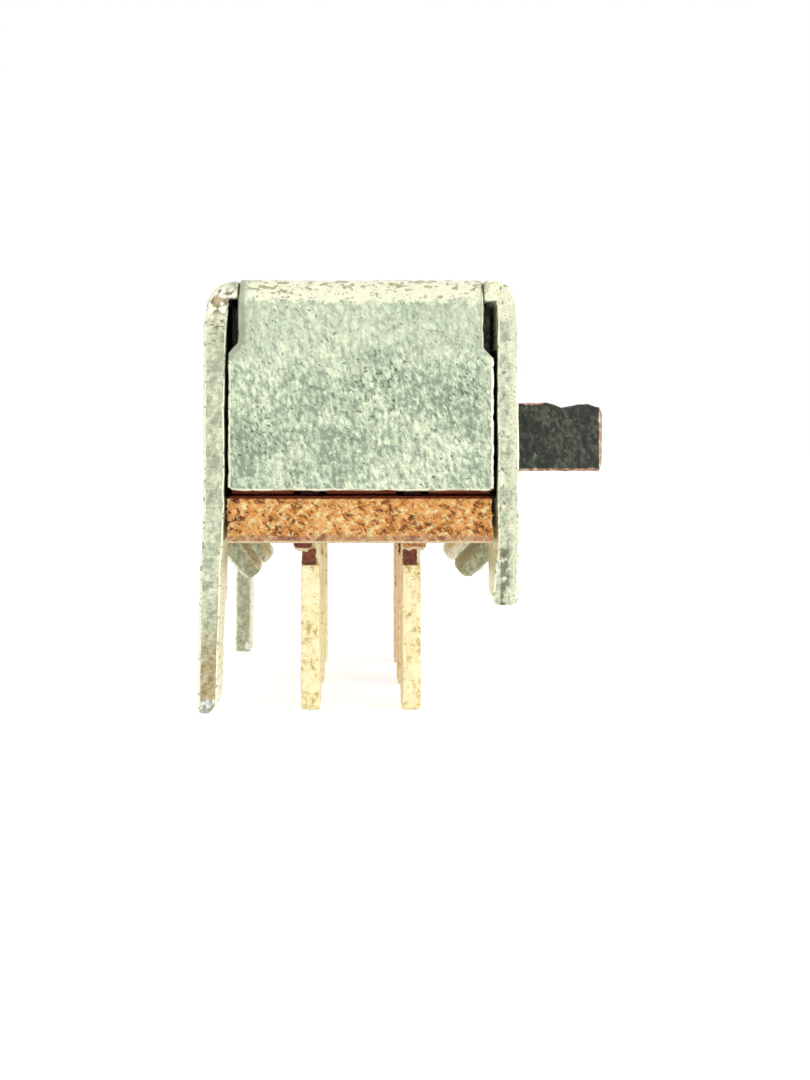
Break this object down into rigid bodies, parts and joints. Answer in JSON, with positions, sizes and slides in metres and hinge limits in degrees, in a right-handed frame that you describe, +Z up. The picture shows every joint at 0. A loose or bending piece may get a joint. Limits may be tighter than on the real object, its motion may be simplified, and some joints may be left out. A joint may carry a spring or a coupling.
{
  "type": "slide switch",
  "caption": "Side-actuated slide switch for a circuit board: folded metal cover clinched under a laminate board with flat terminals, and a sliding knob at one side.",
  "frame": {"origin": "middle of the terminals' grid, in the plane of the circuit board's top face, where the cover's feet and shoulders sit", "axes": "+X across the switch towards the knob, +Y along the slider's travel away from its rest end, +Z up from the circuit board to the roof"},
  "size_m": [0.0101, 0.0078, 0.0107],
  "materials": {
    "tinned_steel": "dull tin plate with fine scratches and pale flecks, bright at the bends",
    "phenolic_laminate": "orange-brown paper laminate with rough punched edges",
    "terminal_metal": "pale tinned brass, slightly tarnished",
    "dark_moulding": "dark grey-green moulding, matte and finely speckled",
    "clip_bronze": "spring bronze strip, satin",
    "spring_wire": "drawn spring wire",
    "bearing_steel": "polished ball"
  },
  "bodies": {
    "housing": {"cover": "tinned_steel", "base_board": "phenolic_laminate", "terminal_left_near": "terminal_metal", "terminal_left_mid": "terminal_metal", "terminal_left_far": "terminal_metal", "terminal_right_near": "terminal_metal", "terminal_right_mid": "terminal_metal", "terminal_right_far": "terminal_metal"},
    "slide": {"slider": "dark_moulding", "contact_clip_left": "clip_bronze", "contact_clip_right": "clip_bronze", "detent_spring": "spring_wire"},
    "ball": {"detent_ball": "bearing_steel"}
  },
  "joints": [
    {"name": "slider_travel", "type": "slide", "parent": "housing", "child": "slide", "axis": [0, 1, 0], "range_m": [0, 0.0025]},
    {"name": "ball_click", "type": "slide", "parent": "slide", "child": "ball", "axis": [0, 0, 1], "range_m": [0, 0.00015], "stiffness_N_per_m": 30, "springref_m": 0.0003, "deforming": ["detent_spring"]}
  ]
}
